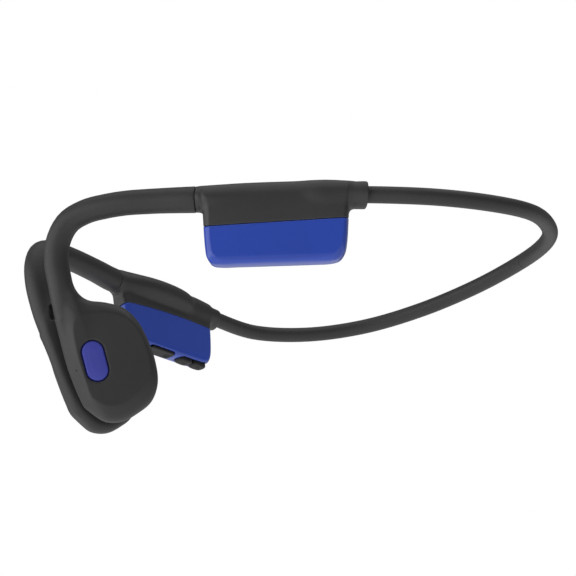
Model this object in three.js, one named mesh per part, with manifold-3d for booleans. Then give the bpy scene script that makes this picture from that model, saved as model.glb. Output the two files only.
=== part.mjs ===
// Open-ear bone conduction headphones: a sprung neckband, two pods behind the ears,
// two ear hooks and two transducers that rest on the cheekbones.
// Millimetres. +X is the wearer's left, -Y is forward, +Z is up.
import * as THREE from "three";
import { mergeVertices } from "three/addons/utils/BufferGeometryUtils.js";
import Module from "manifold-3d";

const wasm = await Module();
wasm.setup();

// ---------------------------------------------------------------- driving dimensions
const GAP = 0.3; // clearance between touching pieces
const FRAME_SHIFT = [0, -58.6, 14.46]; // puts the origin under the middle of the object
const TUBE_SIDES = 16;
const BORE_SIDES = 8;

// Neckband: the left half of its centre line, from inside the pod's collar to the
// middle of the back.
const BAND_LINE = [
  [54.5, 50.9, 40.7],
  [56.6, 54.9, 40.6],
  [63, 71, 40.1],
  [62.1, 89, 41.4],
  [55, 105.3, 43.9],
  [41.3, 118.6, 46.9],
  [22.6, 129.4, 50.4],
  [0, 134.4, 52.6],
];
const BAND_RADIUS = 2.3;
const BAND_BORE = 1.25;
const BAND_WIRE_RADIUS = 0.45;
const BAND_CABLE_RADIUS = 0.35;
const FLEX_AT = 0.36; // share of the band's length, pod to pod, at which each arm flexes
const FLEX_BALL = BAND_RADIUS;
const FLEX_DISH = FLEX_BALL + GAP;

// Ear hook: centre line of the tube from the pod over the ear and down to the transducer.
const HOOK_LINE = [
  [34.9, 14.1, 40.8],
  [30.1, 7.2, 41.2],
  [22.4, -4, 41.2],
  [15.5, -12.2, 39.4],
  [12.1, -15.3, 36.1],
  [9.6, -16.2, 29.5],
  [8.9, -14.7, 22.1],
  [8.6, -13.3, 18.4],
];
const HOOK_RADIUS = 3.35;
const HOOK_BORE = 0.9;
const HOOK_WIRE_RADIUS = 0.55;

// Pod: u is outward, v runs from front to rear along the tube axis, w is up.
const POD_ORIGIN = [35.4, 15.3, 40.7];
const POD_YAW = 28.3; // degrees
const POD_LEAN = 8.5; // degrees, the bottom leans towards the head
const POD_FRONT = 1.4;
const POD_REAR = 39.9;
const POD_INNER = -2.6;
const POD_OUTER = 4.2;
const POD_TOP = 4;
const POD_BOTTOM = -18.8;
const POD_WALL = 1;
const POD_CORNER = 1.8;
const COLLAR_REACH = 3.9; // how far the collar covers the sleeve
const COLLAR_RADIUS = 3.9;
const PARTING_LEVEL = -7; // of the joint between cover and case, at the pod's middle
const PARTING_ROLL = 9.5; // degrees, higher towards the head
const PARTING_PITCH = 1.7; // degrees, higher towards the rear

// Transducer: v is rearward, w is up, n is outward from the cheek.
const CAN_ORIGIN = [8.1, 0, 1];
const CAN_NORMAL = [0.9632, -0.2061, -0.1724];
const CAN_RIM = [
  [-15.2, 14.2],
  [-13.6, 8],
  [-11.1, 0.6],
  [-8.2, -6],
  [-5.9, -11],
  [-3.3, -14.1],
  [0.2, -15.8],
  [4.4, -15.5],
  [8.6, -13],
  [12.1, -9.7],
  [13.6, -4.6],
  [12.6, 1.6],
  [10.2, 7.4],
  [7.4, 12],
  [3.6, 15.3],
  [-1.6, 16.6],
  [-8, 16.7],
  [-13.4, 16.9],
];
const CAN_CENTRE = [0.6, 0.4]; // of the driver inside the housing
const CAN_FACE = 4.3; // height of the outer face over the rim
const CAN_BACK = -2.9; // height of the housing's open side
const CAN_SHOULDER = 2.3; // how far the outer face stands in from the rim
const CAVITY_RADIUS = 9.6;
const PAD_FACE = -4.5; // height of the flat face that touches the skin

// Multifunction button in the left transducer's outer face.
const PILL_CENTRE = [-4, 0];
const PILL_LENGTH = 10.8;
const PILL_WIDTH = 5.8;
const PILL_TILT = 17.4; // degrees, its top leans forward
const BUTTON_TRAVEL = 0.5;

// Volume buttons and charging port under the right pod (v positions along the pod).
const VOLUME_MIDDLES = [28, 34.1];
const VOLUME_LENGTH = 5.5;
const VOLUME_WIDTH = 3.4;
const VOLUME_PROUD = 0.9;
const UNDERSIDE_MIDDLE = 0.4;
const PORT_MIDDLE = 16.8;
const FLAP_LENGTH = 11;
const FLAP_WIDTH = 4;
const FLAP_THICK = 1;
const TETHER_LENGTH = 1.2; // the thin end of the flap, where it bends
const TETHER_THICK = 0.25;

// ---------------------------------------------------------------- materials
const finish = (color, roughness, metalness = 0) => () =>
  new THREE.MeshStandardMaterial({ color, roughness, metalness });
const SILICONE = finish(0x3c3c3d, 0.62);
const SHELL = finish(0x3a3a3b, 0.5);
const RUBBER = finish(0x222224, 0.7);
const GLOSS_BLUE = finish(0x343f9f, 0.22);
const MATT_BLUE = finish(0x3f4594, 0.5);
const TITANIUM = finish(0xa9a59c, 0.35, 0.9);
const STEEL = finish(0xb8babd, 0.3, 0.9);
const COPPER = finish(0xb5673a, 0.35, 0.8);
const CABLE = finish(0x8a1f1f, 0.6);
const BOARD = finish(0x17492f, 0.55);
const FOIL = finish(0xc4c6c8, 0.35, 0.6);
const BLACK_PLASTIC = finish(0x1d1d1f, 0.45);

// ---------------------------------------------------------------- geometry helpers
function solid(geometry) {
  const plain = geometry.index ? geometry.toNonIndexed() : geometry.clone();
  plain.deleteAttribute("normal");
  plain.deleteAttribute("uv");
  const merged = mergeVertices(plain, 1e-4);
  return new wasm.Manifold(
    new wasm.Mesh({
      numProp: 3,
      vertProperties: new Float32Array(merged.attributes.position.array),
      triVerts: new Uint32Array(merged.index.array),
    }),
  );
}

function geometryOf(manifold) {
  const mesh = manifold.getMesh();
  const geometry = new THREE.BufferGeometry();
  geometry.setAttribute("position", new THREE.BufferAttribute(mesh.vertProperties, 3));
  geometry.setIndex(new THREE.BufferAttribute(mesh.triVerts, 1));
  const flat = geometry.toNonIndexed();
  flat.computeVertexNormals();
  return flat;
}

function piece(name, shape, material) {
  const geometry = shape.isBufferGeometry ? shape : geometryOf(shape);
  const mesh = new THREE.Mesh(geometry, material());
  mesh.name = name;
  return mesh;
}

function polygon(points) {
  return new THREE.Shape(points.map(([x, y]) => new THREE.Vector2(x, y)));
}

function ringShape(radius, sides) {
  const points = [];
  for (let i = 0; i < sides; i++) {
    const angle = (i / sides) * 2 * Math.PI;
    points.push([radius * Math.cos(angle), radius * Math.sin(angle)]);
  }
  return polygon(points);
}

function tube(curve, radius, sides, steps) {
  const options = { extrudePath: curve, steps, bevelEnabled: false };
  return solid(new THREE.ExtrudeGeometry(ringShape(radius, sides), options));
}

function smooth(points) {
  const vectors = points.map((p) => new THREE.Vector3(...p));
  return new THREE.CatmullRomCurve3(vectors, false, "centripetal");
}

// The stretch of a curve between two shares of its length.
function stretch(curve, from, to, count) {
  const points = [];
  for (let i = 0; i <= count; i++) {
    points.push(curve.getPointAt(from + ((to - from) * i) / count));
  }
  return new THREE.CatmullRomCurve3(points, false, "centripetal");
}

// The same curve moved sideways, level with the ground.
function beside(curve, offset, count) {
  const up = new THREE.Vector3(0, 0, 1);
  const points = [];
  for (let i = 0; i <= count; i++) {
    const side = curve.getTangentAt(i / count).cross(up).normalize();
    points.push(curve.getPointAt(i / count).addScaledVector(side, offset));
  }
  return new THREE.CatmullRomCurve3(points, false, "centripetal");
}

function ball(centre, radius) {
  return solid(new THREE.SphereGeometry(radius, 16, 10)).translate(centre.toArray());
}

// A flat outline extruded along +Z from one height to another.
function slab(shape, from, to) {
  const options = { depth: to - from, bevelEnabled: false, curveSegments: 8 };
  return solid(new THREE.ExtrudeGeometry(shape, options)).translate([0, 0, from]);
}

function block(x, y, z) {
  const box = new THREE.BoxGeometry(x[1] - x[0], y[1] - y[0], z[1] - z[0]);
  const middle = [(x[0] + x[1]) / 2, (y[0] + y[1]) / 2, (z[0] + z[1]) / 2];
  return solid(box).translate(middle);
}

function disc(radius, from, to, sides = 24) {
  return slab(ringShape(radius, sides), from, to);
}

function roundedRectangle(x0, x1, y0, y1, radius, segments = 3) {
  const points = [];
  const corners = [
    [x1 - radius, y1 - radius, 0],
    [x0 + radius, y1 - radius, 90],
    [x0 + radius, y0 + radius, 180],
    [x1 - radius, y0 + radius, 270],
  ];
  for (const [cx, cy, start] of corners) {
    for (let i = 0; i <= segments; i++) {
      const angle = THREE.MathUtils.degToRad(start + (90 * i) / segments);
      points.push([cx + radius * Math.cos(angle), cy + radius * Math.sin(angle)]);
    }
  }
  return polygon(points);
}

// ---------------------------------------------------------------- neckband
const bandHalf = BAND_LINE.slice(0, -1);
const mirrored = bandHalf.map(([x, y, z]) => [-x, y, z]).reverse();
const bandCurve = smooth([...BAND_LINE, ...mirrored]);
const bandLength = bandCurve.getLength();
const pivot = bandCurve.getPointAt(FLEX_AT);
const alongBand = (mm) => mm / bandLength;

// Centre section: a ball at each flex point, bored for the wire and the cable.
function centreSleeve() {
  const from = FLEX_AT;
  const to = 1 - FLEX_AT;
  const skin = tube(stretch(bandCurve, from, to, 12), BAND_RADIUS, TUBE_SIDES, 12);
  const balls = ball(pivot, FLEX_BALL * 0.998).add(
    ball(new THREE.Vector3(-pivot.x, pivot.y, pivot.z), FLEX_BALL * 0.998),
  );
  const reach = alongBand(4);
  const bore = tube(stretch(bandCurve, from - reach, to + reach, 12), BAND_BORE, BORE_SIDES, 12);
  return skin.add(balls).subtract(bore);
}

// Arm section: hollowed at its end to sit round the ball.
function armSleeve() {
  const skin = tube(stretch(bandCurve, 0, FLEX_AT, 14), BAND_RADIUS, TUBE_SIDES, 18);
  const bore = tube(armLine(1, -3), BAND_BORE, BORE_SIDES, 18);
  return skin.subtract(bore).subtract(ball(pivot, FLEX_DISH));
}

// The band's line in one arm, begun some millimetres before the sleeve and
// ended some millimetres short of the flex point.
function armLine(before, short) {
  const end = FLEX_AT - alongBand(short);
  const tangent = bandCurve.getTangentAt(0);
  const points = [bandCurve.getPointAt(0).addScaledVector(tangent, -before)];
  for (let i = 0; i <= 14; i++) {
    points.push(bandCurve.getPointAt((end * i) / 14));
  }
  return new THREE.CatmullRomCurve3(points, false, "centripetal");
}

function bandWire(centre, offset, radius, sides) {
  if (centre) {
    const inset = alongBand(-1.2);
    const line = stretch(bandCurve, FLEX_AT + inset, 1 - FLEX_AT - inset, 14);
    return tube(beside(line, offset, 14), radius, sides, 12);
  }
  return tube(beside(armLine(2.5, 3.2), offset, 18), radius, sides, 18);
}

// A stretch of curve seen from a frame.
function seenFrom(frame, points) {
  frame.updateMatrix();
  const back = frame.matrix.clone().invert();
  return points.map((p) => p.clone().applyMatrix4(back));
}

// ---------------------------------------------------------------- pods
function podFrame() {
  const frame = new THREE.Group();
  frame.position.set(...POD_ORIGIN);
  frame.rotation.order = "ZYX";
  frame.rotation.y = THREE.MathUtils.degToRad(POD_LEAN);
  frame.rotation.z = THREE.MathUtils.degToRad(-POD_YAW);
  return frame;
}

// The pod's outer form: side view, section and plan cut from one another.
function podForm(inset) {
  const inner = POD_INNER + inset;
  const outer = POD_OUTER - inset;
  const front = POD_FRONT + inset;
  const rear = POD_REAR - inset;
  const top = POD_TOP - inset;
  const bottom = POD_BOTTOM + inset;
  const middle = (inner + outer) / 2;
  const corner = Math.max(POD_CORNER - inset, 0.5);
  const side = polygon([
    [front, -4],
    [front + 0.4, bottom + 3.4],
    [front + 0.9, bottom + 1.6],
    [front + 2, bottom + 0.5],
    [front + 3.8, bottom],
    [rear - 4, bottom + 0.1],
    [rear - 2, bottom + 0.6],
    [rear - 0.9, bottom + 1.7],
    [rear - 0.5, bottom + 3.6],
    [rear, -4],
    [rear, top - 1.2],
    [rear - 3, top - 0.7],
    [rear - 10, top - 0.1],
    [middle + 19, top],
    [front + 8, top - 0.3],
    [front, top - 0.9],
  ]);
  const section = polygon([
    [0, top],
    [-1.4, top - 0.3],
    [inner * 0.82, top - 1.3],
    [inner * 0.98, top - 3],
    [inner, top - 6],
    [inner, bottom + 3],
    [inner + 0.3, bottom + 1.2],
    [inner + 1.3, bottom],
    [inner + 4.4, bottom + 0.1],
    [outer - 1, bottom + 0.5],
    [outer - 0.3, bottom + 1.3],
    [outer - 0.05, bottom + 3],
    [outer, bottom + 8],
    [outer * 0.99, top - 9],
    [outer * 0.93, top - 5.5],
    [outer * 0.8, top - 2.6],
    [outer * 0.5, top - 0.8],
    [outer * 0.25, top - 0.15],
  ]);
  const sideSolid = slab(side, -12, 12).rotate([90, 0, 0]).rotate([0, 0, 90]);
  const sectionSolid = slab(section, -60, 10).rotate([90, 0, 0]);
  const plan = slab(roundedRectangle(inner, outer, front, rear, corner), -30, 12);
  return sideSolid.intersect(sectionSolid).intersect(plan);
}

// Everything above (or below) the joint between cover and case.
function partingBlock(above, offset) {
  const height = above ? [offset, 60] : [-60, offset];
  const middle = (POD_FRONT + POD_REAR) / 2;
  return block([-40, 40], [-60, 60], height)
    .rotate([PARTING_PITCH, PARTING_ROLL, 0])
    .translate([(POD_INNER + POD_OUTER) / 2, middle, PARTING_LEVEL]);
}

function podCover() {
  const neck = tube(smooth([[0, -0.9, 0.1], [0, 3, 0.1], [0.1, 8, 0.1]]), 3.5, TUBE_SIDES, 2);
  const collar = tube(bandInPod(-7, COLLAR_REACH), COLLAR_RADIUS, TUBE_SIDES, 3);
  const hollow = podForm(POD_WALL);
  const hookBore = tube(smooth([[0, -3, 0.1], [0, 5, 0.1]]), HOOK_BORE, BORE_SIDES, 1);
  const bandBore = tube(bandInPod(-0.3, COLLAR_REACH + 2), BAND_RADIUS + GAP, TUBE_SIDES, 3);
  const cableBore = tube(bandInPod(-8, 1), BAND_BORE, BORE_SIDES, 2);
  const above = partingBlock(true, GAP / 2);
  return podForm(0)
    .add(neck)
    .add(collar)
    .intersect(above)
    .subtract(hollow)
    .subtract(hookBore)
    .subtract(bandBore)
    .subtract(cableBore);
}

// The band's line from the pod, between two distances from the sleeve's end.
function bandInPod(from, to) {
  const tangent = bandCurve.getTangentAt(0);
  const start = bandCurve.getPointAt(0);
  const points = [];
  for (let i = 0; i <= 5; i++) {
    const at = from + ((to - from) * i) / 5;
    const point = at < 0 ? start.clone().addScaledVector(tangent, at) : start;
    points.push(at < 0 ? point : bandCurve.getPointAt(alongBand(at)));
  }
  return new THREE.CatmullRomCurve3(seenFrom(podFrame(), points), false, "centripetal");
}

function podCase() {
  return podForm(0).intersect(partingBlock(false, -GAP / 2)).subtract(podForm(POD_WALL + 0.2));
}

// ---------------------------------------------------------------- ear hooks
const hookCurve = smooth(HOOK_LINE);

function earHook() {
  const bore = tube(hookCurve, HOOK_BORE, BORE_SIDES, 22);
  return tube(hookCurve, HOOK_RADIUS, TUBE_SIDES, 22).subtract(bore);
}

function hookWire() {
  return tube(stretch(hookCurve, 0.01, 0.99, 24), HOOK_WIRE_RADIUS, 6, 20);
}

// ---------------------------------------------------------------- transducers
function canFrame() {
  const n = new THREE.Vector3(...CAN_NORMAL).normalize();
  const w = new THREE.Vector3(0, 0, 1).addScaledVector(n, -n.z).normalize();
  const v = new THREE.Vector3().crossVectors(w, n);
  const matrix = new THREE.Matrix4().makeBasis(v, w, n);
  const frame = new THREE.Group();
  frame.position.set(...CAN_ORIGIN);
  frame.quaternion.setFromRotationMatrix(matrix);
  return frame;
}

function rimShape(scale = 1) {
  const points = CAN_RIM.map(([v, w]) => new THREE.Vector3(v * scale, w * scale, 0));
  const closed = new THREE.CatmullRomCurve3(points, true, "centripetal");
  return polygon(closed.getPoints(34).slice(0, -1).map((p) => [p.x, p.y]));
}

// The tube's end in the transducer's own frame.
function hookInCan(radius) {
  const points = seenFrom(canFrame(), stretch(hookCurve, 0.7, 1, 6).points);
  const last = points[points.length - 1];
  const before = points[points.length - 2];
  points.push(last.clone().addScaledVector(last.clone().sub(before).normalize(), GAP));
  return tube(new THREE.CatmullRomCurve3(points), radius, TUBE_SIDES, 6);
}

function pill(length, width, segments = 8) {
  const reach = (length - width) / 2;
  const points = [];
  for (const [centre, start] of [[reach, 0], [-reach, 180]]) {
    for (let i = 0; i <= segments; i++) {
      const angle = THREE.MathUtils.degToRad(start + (180 * i) / segments);
      points.push([(width / 2) * Math.cos(angle), centre + (width / 2) * Math.sin(angle)]);
    }
  }
  return polygon(points);
}

function pillSlab(length, width, from, to) {
  return slab(pill(length, width), from, to)
    .rotate([0, 0, PILL_TILT])
    .translate([...PILL_CENTRE, 0]);
}

function canForm() {
  const bevel = CAN_FACE - 1;
  const options = {
    depth: 1,
    bevelThickness: bevel,
    bevelSize: CAN_SHOULDER,
    bevelOffset: -CAN_SHOULDER,
    bevelSegments: 2,
  };
  const body = solid(new THREE.ExtrudeGeometry(rimShape(), options));
  return body.subtract(block([-40, 40], [-40, 40], [-30, CAN_BACK]));
}

function canShell(withButton) {
  const opening = disc(CAVITY_RADIUS, CAN_BACK - 1, 1.6).translate([...CAN_CENTRE, 0]);
  const wireWay = hookInCan(HOOK_RADIUS + GAP);
  const shell = canForm().subtract(opening).subtract(wireWay);
  if (!withButton) {
    return shell;
  }
  const well = pillSlab(PILL_LENGTH + 2 * GAP, PILL_WIDTH + 2 * GAP, 1, CAN_FACE + 1);
  const seat = pillSlab(PILL_LENGTH + 2.4, PILL_WIDTH + 2.4, 1.5, 3.2);
  return shell.subtract(well).subtract(seat);
}

function cheekPad() {
  const size = 0.86;
  const options = {
    depth: 0.5,
    bevelThickness: 0.35,
    bevelSize: 0.6,
    bevelOffset: -0.6,
    bevelSegments: 1,
  };
  const skin = solid(new THREE.ExtrudeGeometry(rimShape(size), options));
  return skin.translate([0.3, -0.2, PAD_FACE + 0.35]);
}

function coaxial(manifold) {
  return manifold.translate([...CAN_CENTRE, 0]);
}

const springPlate = () => coaxial(disc(9.2, CAN_BACK + 0.1, CAN_BACK + 0.5));
const voiceCoil = () => coaxial(disc(6.1, -1.9, 0.6).subtract(disc(5.2, -3, 2)));
const magnet = () => coaxial(disc(4.8, -1.5, 0.4));
const yoke = () => coaxial(disc(7.9, -1.6, 1.4).subtract(disc(6.6, -3, 0.7)));
const coilFormer = () =>
  coaxial(disc(6.3, CAN_BACK + 0.8, -2.05).subtract(disc(4.6, -3, -1)));

// ---------------------------------------------------------------- one arm
function buildArm(side) {
  const name = (part) => `${side}_${part}`;
  const arm = new THREE.Group();
  arm.add(piece(name("band_sleeve"), armSleeve(), SILICONE));
  arm.add(piece(name("band_wire"), bandWire(false, 0.55, BAND_WIRE_RADIUS, 6), TITANIUM));
  arm.add(piece(name("band_cable"), bandWire(false, -0.65, BAND_CABLE_RADIUS, 6), CABLE));
  arm.add(piece(name("ear_hook"), earHook(), SILICONE));
  arm.add(piece(name("hook_wire"), hookWire(), TITANIUM));

  const pod = podFrame();
  pod.add(piece(name("pod_cover"), podCover(), SHELL));
  if (side === "left") {
    pod.add(piece(name("pod_case"), podCase(), GLOSS_BLUE));
    addBattery(pod);
  } else {
    addControls(pod);
  }
  arm.add(pod);

  const can = canFrame();
  can.add(piece(name("transducer_shell"), canShell(side === "left"), SHELL));
  can.add(piece(name("cheek_pad"), cheekPad(), SILICONE));
  can.add(piece(name("spring_plate"), springPlate(), STEEL));
  can.add(piece(name("voice_coil"), voiceCoil(), COPPER));
  can.add(piece(name("coil_former"), coilFormer(), BLACK_PLASTIC));
  can.add(piece(name("magnet"), magnet(), STEEL));
  can.add(piece(name("yoke"), yoke(), STEEL));
  if (side === "left") {
    addMultifunctionButton(can);
  }
  arm.add(can);
  return arm;
}

function addMultifunctionButton(can) {
  const cap = pillSlab(PILL_LENGTH, PILL_WIDTH, 2.5, CAN_FACE + 0.1);
  const flange = pillSlab(PILL_LENGTH + 1.6, PILL_WIDTH + 1.6, 2.5, 2.9);
  can.add(piece("multifunction_button", cap.add(flange), MATT_BLUE));
  const switchBody = block([-1.6, 1.6], [-1.6, 1.6], [1.6, 1.75]).translate([...PILL_CENTRE, 0]);
  const stem = disc(0.8, 1.7, 1.95, 12).translate([...PILL_CENTRE, 0]);
  can.add(piece("multifunction_switch", switchBody.add(stem), BLACK_PLASTIC));
}

function addBattery(pod) {
  const cell = block([-0.9, 2.3], [7, 33.4], [POD_BOTTOM + 4.6, -3.2]);
  pod.add(piece("battery", cell, FOIL));
  const board = block([-0.9, 2.5], [34.1, 35.1], [POD_BOTTOM + 6, -4]);
  pod.add(piece("battery_board", board, BOARD));
}

function volumeShape(grow) {
  const x = VOLUME_WIDTH / 2 + grow;
  const y = VOLUME_LENGTH / 2;
  return roundedRectangle(-x, x, -y, y, 1.2, 3);
}

// One opening holds both volume buttons side by side.
function volumeWell(grow) {
  const x = VOLUME_WIDTH / 2 + grow;
  const y = VOLUME_LENGTH / 2 + GAP;
  const [front, rear] = VOLUME_MIDDLES;
  return roundedRectangle(-x, x, front - y, rear + y, 1.2 + GAP, 3);
}

function addControls(pod) {
  const middle = UNDERSIDE_MIDDLE;
  const under = POD_BOTTOM;
  let shell = podCase();
  const well = slab(volumeWell(GAP), -1, 2).add(slab(volumeWell(0.35 + GAP), 1.05, 4));
  shell = shell.subtract(well.translate([middle, 0, under]));
  const socket = roundedRectangle(-1.75, 1.75, -4.7, 4.7, 1.6, 4);
  const pocket = roundedRectangle(-2, 2, -4.9, 4.9, 1.6, 3);
  const recess = roundedRectangle(
    -FLAP_WIDTH / 2 - GAP,
    FLAP_WIDTH / 2 + GAP,
    -FLAP_LENGTH / 2 - GAP,
    FLAP_LENGTH / 2 + GAP,
    1.2,
  );
  shell = shell
    .subtract(slab(recess, -1, FLAP_THICK + 0.1).translate([middle, PORT_MIDDLE, under]))
    .subtract(slab(socket, 0, 2).translate([middle, PORT_MIDDLE, under]))
    .subtract(slab(pocket, 1.2, 8).translate([middle, PORT_MIDDLE, under]));
  pod.add(piece("right_pod_case", shell, GLOSS_BLUE));

  VOLUME_MIDDLES.forEach((v, index) => {
    const label = index === 0 ? "volume_down" : "volume_up";
    const key = slab(volumeShape(0), -VOLUME_PROUD, 1.6);
    const lip = slab(volumeShape(0.35), 1.35, 1.75);
    const cap = key.add(lip).translate([middle, v, under]);
    pod.add(piece(`${label}_button`, cap, RUBBER));
    const body = block([-1.5, 1.5], [-1.5, 1.5], [2.9, 4]);
    const stem = disc(0.7, 2.55, 3, 12);
    pod.add(piece(`${label}_switch`, body.add(stem).translate([middle, v, under]), BLACK_PLASTIC));
  });

  const outer = roundedRectangle(-1.7, 1.7, -4.55, 4.55, 1.55, 4);
  const hollow = roundedRectangle(-1.35, 1.35, -4.2, 4.2, 1.25, 4);
  const can = slab(outer, 1.35, 7).subtract(slab(hollow, 0, 6.4));
  const tongue = block([-0.35, 0.35], [-3.3, 3.3], [2.2, 6.6]);
  pod.add(
    piece("usb_c_receptacle", can.add(tongue).translate([middle, PORT_MIDDLE, under]), STEEL),
  );
  const half = { u: FLAP_WIDTH / 2, v: FLAP_LENGTH / 2 };
  const face = roundedRectangle(-half.u, half.u, -half.v, half.v, 1);
  const tether = block([-half.u, half.u], [-half.v - 1, TETHER_LENGTH - half.v], [TETHER_THICK, 3]);
  const flap = slab(face, 0, FLAP_THICK).subtract(tether);
  pod.add(piece("port_cover", flap.translate([middle, PORT_MIDDLE, under]), RUBBER));

  const board = block([-0.4, 0.4], [4.6, 36], [POD_BOTTOM + 7.4, -2.6]);
  pod.add(piece("main_board", board.translate([middle, 0, 0]), BOARD));
  const shield = block([0.6, 2], [20, 32], [-9.5, -3.6]);
  pod.add(piece("radio_shield", shield.translate([middle, 0, 0]), STEEL));
}

// ---------------------------------------------------------------- assembly
const headphones = new THREE.Group();
headphones.position.set(...FRAME_SHIFT);
headphones.add(piece("neck_band_sleeve", centreSleeve(), SILICONE));
headphones.add(piece("neck_band_wire", bandWire(true, 0.55, BAND_WIRE_RADIUS, 6), TITANIUM));
headphones.add(piece("neck_band_cable", bandWire(true, -0.65, BAND_CABLE_RADIUS, 6), CABLE));

headphones.add(buildArm("left"));
const rightArm = buildArm("right");
rightArm.scale.x = -1;
headphones.add(rightArm);

export default headphones;
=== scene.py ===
"""Bone conduction headphones: the visible pieces, their materials, the light and the camera."""

import bpy
import numpy as np
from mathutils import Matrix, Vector


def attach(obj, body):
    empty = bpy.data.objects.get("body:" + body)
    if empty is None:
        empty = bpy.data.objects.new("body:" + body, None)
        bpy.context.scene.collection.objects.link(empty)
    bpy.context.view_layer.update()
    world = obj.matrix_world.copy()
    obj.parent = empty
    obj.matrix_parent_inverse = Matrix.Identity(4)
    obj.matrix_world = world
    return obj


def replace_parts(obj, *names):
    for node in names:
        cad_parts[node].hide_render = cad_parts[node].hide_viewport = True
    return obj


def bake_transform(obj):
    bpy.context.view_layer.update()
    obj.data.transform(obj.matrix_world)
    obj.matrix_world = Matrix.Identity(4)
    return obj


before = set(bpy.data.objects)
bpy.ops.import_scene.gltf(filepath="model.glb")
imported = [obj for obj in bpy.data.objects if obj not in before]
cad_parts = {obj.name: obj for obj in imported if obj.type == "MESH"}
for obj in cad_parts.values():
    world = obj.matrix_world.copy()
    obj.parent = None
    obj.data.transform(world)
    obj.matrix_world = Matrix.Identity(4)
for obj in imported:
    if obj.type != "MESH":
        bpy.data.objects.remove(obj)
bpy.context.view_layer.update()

# ------------------------------------------------------------------ dimensions, millimetres
SHIFT = np.array([0.0, -58.6, 14.46])  # from the drawing's origin to the frame's

BAND = [
    [54.5, 50.9, 40.7],
    [56.6, 54.9, 40.6],
    [63, 71, 40.1],
    [62.1, 89, 41.4],
    [55, 105.3, 43.9],
    [41.3, 118.6, 46.9],
    [22.6, 129.4, 50.4],
    [0, 134.4, 52.6],
]
BAND_RADIUS = 2.3
WIRE_RADIUS = 0.45
WIRE_OFFSET = 0.55
LEAD_RADIUS = 0.35
LEAD_OFFSET = -0.65
BORE_GAP = 0.12
COLLAR_REACH = 3.9
COLLAR_RADIUS = 3.9
COLLAR_SLANT = 0.22

HOOK = [
    [34.9, 14.1, 40.8],
    [30.1, 7.2, 41.2],
    [22.4, -4, 41.2],
    [15.5, -12.2, 39.4],
    [12.1, -15.3, 36.1],
    [9.6, -16.2, 29.5],
    [8.9, -14.7, 22.1],
    [8.6, -13.3, 18.4],
]
HOOK_RADIUS = 3.35
HOOK_END = -0.96  # in the pod's frame, just short of the cover
SPIGOT_RADIUS = 2.1
# The hook's tube runs on down the transducer's front flank: (v, w, n, radius).
HOOK_ROOT = [
    [-12.2, 12.2, -0.1, 3.0],
    [-10.5, 6, -0.6, 2.4],
    [-8.9, 0.3, -0.9, 1.9],
    [-6.7, -6, -1.0, 1.5],
    [-4.5, -10.4, -1.0, 1.3],
]

POD_ORIGIN = np.array([35.4, 15.3, 40.7])
POD_YAW = np.radians(28.3)
POD_LEAN = np.radians(8.5)
POD_FRONT = 1.4
POD_REAR = 39.9
POD_INNER = -2.6
POD_OUTER = 4.2
POD_TOP = 4.0
POD_BOTTOM = -18.8
POD_WALL = 1.1
COVER_START = -0.9
SEAM = 0.04  # half of the gap between cover and case
PARTING_ARCH = 0.9
PARTING_LEVEL = -7.0
PARTING_ROLL = np.radians(9.5)
PARTING_PITCH = np.radians(1.7)

CAN_ORIGIN = np.array([8.1, 0, 1])
CAN_NORMAL = np.array([0.9632, -0.2061, -0.1724])
CAN_RIM = [
    [-15.2, 14.2],
    [-13.6, 8],
    [-11.1, 0.6],
    [-8.2, -6],
    [-5.9, -11],
    [-3.3, -14.1],
    [0.2, -15.8],
    [4.4, -15.5],
    [8.6, -13],
    [12.1, -9.7],
    [13.6, -4.6],
    [12.6, 1.6],
    [10.2, 7.4],
    [7.4, 12],
    [3.6, 15.3],
    [-1.6, 16.6],
    [-8, 16.7],
    [-13.4, 16.9],
]
CAN_ISLAND = [
    [-10.1, 9.6],
    [-9.2, 3.2],
    [-7.6, -2],
    [-6, -6.3],
    [-4.2, -9.9],
    [-0.6, -11.7],
    [3.6, -11.2],
    [6.9, -8.8],
    [9.9, -5.4],
    [10.9, -1.6],
    [10.0, 3.4],
    [7.6, 8.6],
    [3.2, 12.5],
    [-3.5, 13.3],
    [-8.2, 12.1],
]
CAN_CENTRE = np.array([0.6, 0.4])
CAN_FACE = 4.3
CAN_BACK = -2.9
FLANK_DROP = 2.3
FRONT_DROP = 2.7  # added to the drop of the front flank
CAVITY_RADIUS = 9.6
CAVITY_TOP = 1.6
SHELL_WALL = 0.5
PAD_FACE = -4.5
PAD_THICK = 1.4
PAD_SCALE = 0.83
VENT_CENTRE = np.array([-12.8, 16.6])
VENT_RADIUS = 0.9
VENT_REACH = 1.5
MESH_PITCH = 0.55
MESH_HOLE = 0.15

PILL_CENTRE = np.array([-4.0, 0.0])
PILL_LENGTH = 10.8
PILL_WIDTH = 5.8
PILL_TILT = np.radians(17.4)

UNDER_MIDDLE = 0.4
VOLUME_MIDDLES = [28.0, 34.1]
VOLUME_LENGTH = 5.5
VOLUME_WIDTH = 3.4
VOLUME_PROUD = 0.65
PORT_MIDDLE = 16.8
RECEPTACLE_HALF = (1.85, 4.75)
FLAP_LENGTH = 11.0
FLAP_WIDTH = 4.0
FLAP_THICK = 1.0

# ------------------------------------------------------------------ distance-field tools


def smin(a, b, k):
    """Union of two fields with a fillet of about k."""
    h = np.clip(0.5 + 0.5 * (b - a) / k, 0, 1)
    return b + (a - b) * h - k * h * (1 - h)


def smax(a, b, k):
    """Intersection of two fields with a rounded edge of about k."""
    return -smin(-a, -b, k)


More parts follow.
